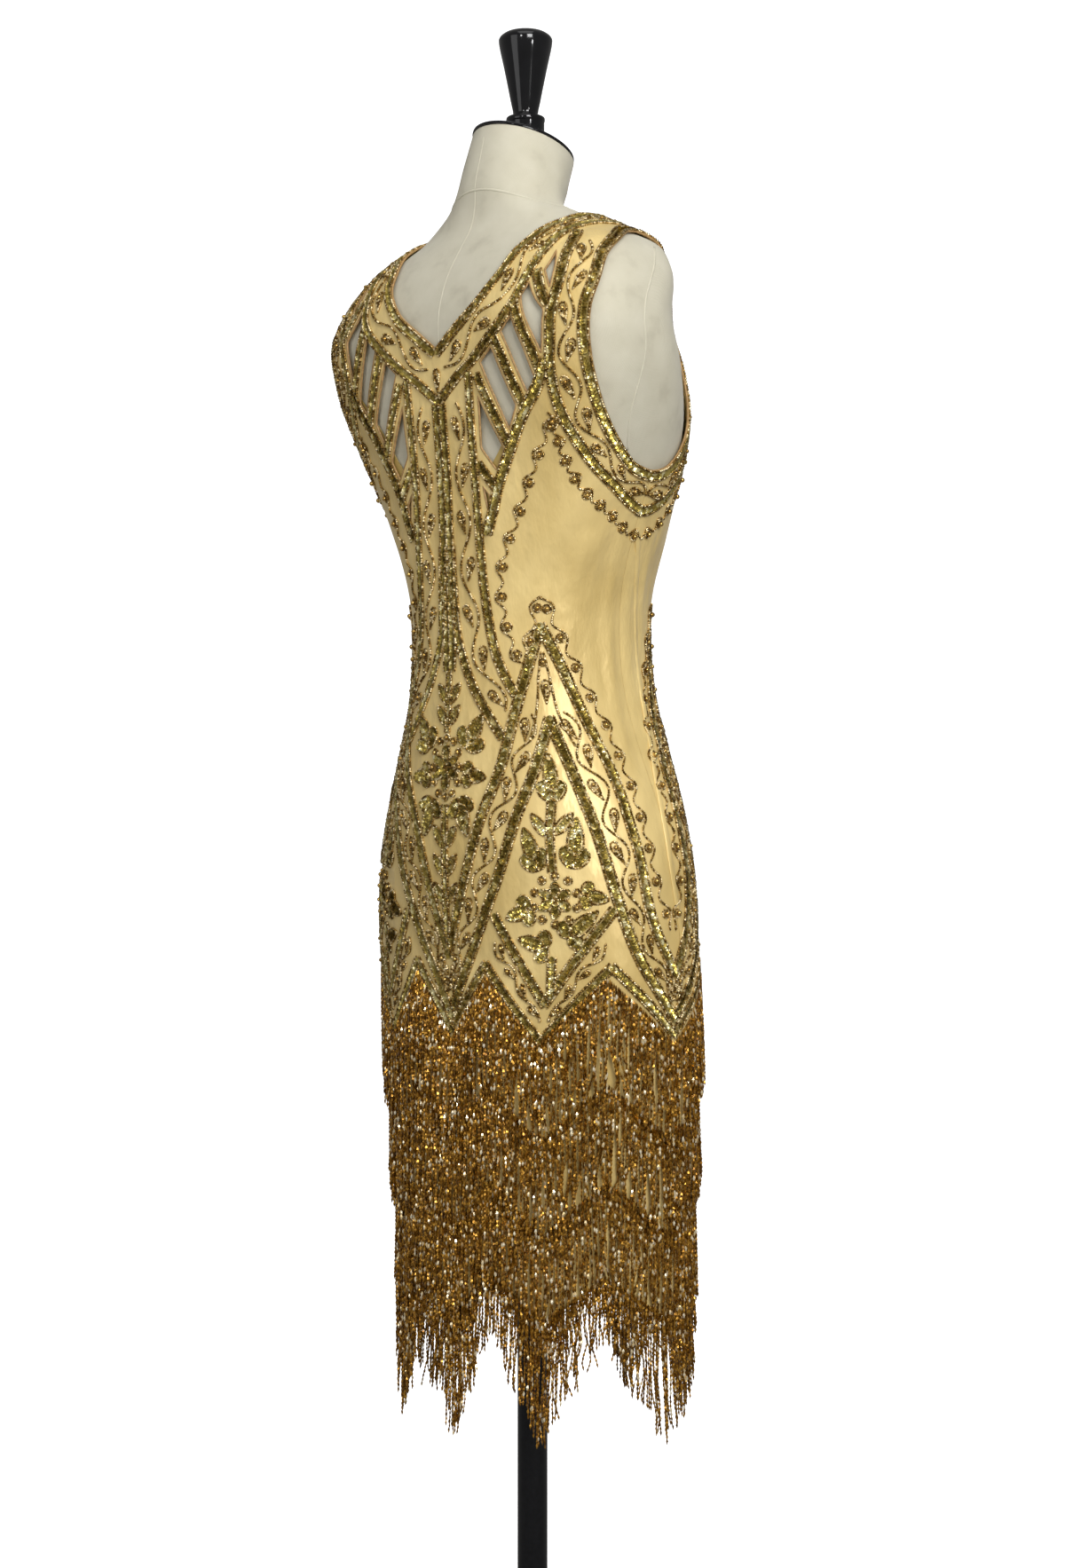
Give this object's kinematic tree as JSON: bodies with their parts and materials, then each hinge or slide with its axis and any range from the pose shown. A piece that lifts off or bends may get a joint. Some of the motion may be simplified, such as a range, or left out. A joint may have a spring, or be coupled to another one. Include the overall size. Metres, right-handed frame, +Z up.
{
  "type": "sequin gown on dress form stand",
  "caption": "Sleeveless beaded satin gown with an open back lattice and tiered bead fringe, on a limbless linen dress form with a pole and round base.",
  "frame": {"origin": "middle of the stand's underside, on the pole's axis", "axes": "+Z up, the front of the gown faces -Y, the wearer's right is -X"},
  "size_m": [0.4, 0.4, 1.573],
  "materials": {
    "form_linen": "tight unbleached linen over a hard form",
    "black_lacquer": "black high gloss lacquer",
    "black_metal": "black satin enamel",
    "gold_satin": "light gold satin",
    "slip_satin": "darker gold satin of the under slip",
    "sequin_band": "olive gold sequins and beads, metallic gloss",
    "bead_fringe": "brown gold glass beads on threads, sparkling"
  },
  "bodies": {
    "root": {"dress_form": "form_linen", "neck_cap": "black_lacquer", "finial": "black_lacquer", "stand_base": "black_metal", "stand_collar": "black_metal", "stand_pole": "black_metal", "back_panel": "gold_satin", "front_panel": "gold_satin", "slip_edge_left": "slip_satin", "slip_edge_right": "slip_satin", "neck_edge_band": "sequin_band", "neck_line_band": "sequin_band", "armhole_edge_band_left": "sequin_band", "armhole_edge_band_right": "sequin_band", "armhole_line_band_left": "sequin_band", "armhole_line_band_right": "sequin_band", "column_band_left": "sequin_band", "column_band_right": "sequin_band", "branch_band_left": "sequin_band", "branch_band_right": "sequin_band", "centre_band": "sequin_band", "outer_chevron_band": "sequin_band", "inner_chevron_band": "sequin_band", "diamond_band_back_left": "sequin_band", "diamond_band_back_right": "sequin_band", "diamond_band_front_left": "sequin_band", "diamond_band_front_right": "sequin_band", "fringe_tier_1": "bead_fringe", "fringe_tier_2": "bead_fringe", "fringe_tier_3": "bead_fringe", "fringe_tier_4": "bead_fringe"}
  },
  "joints": []
}
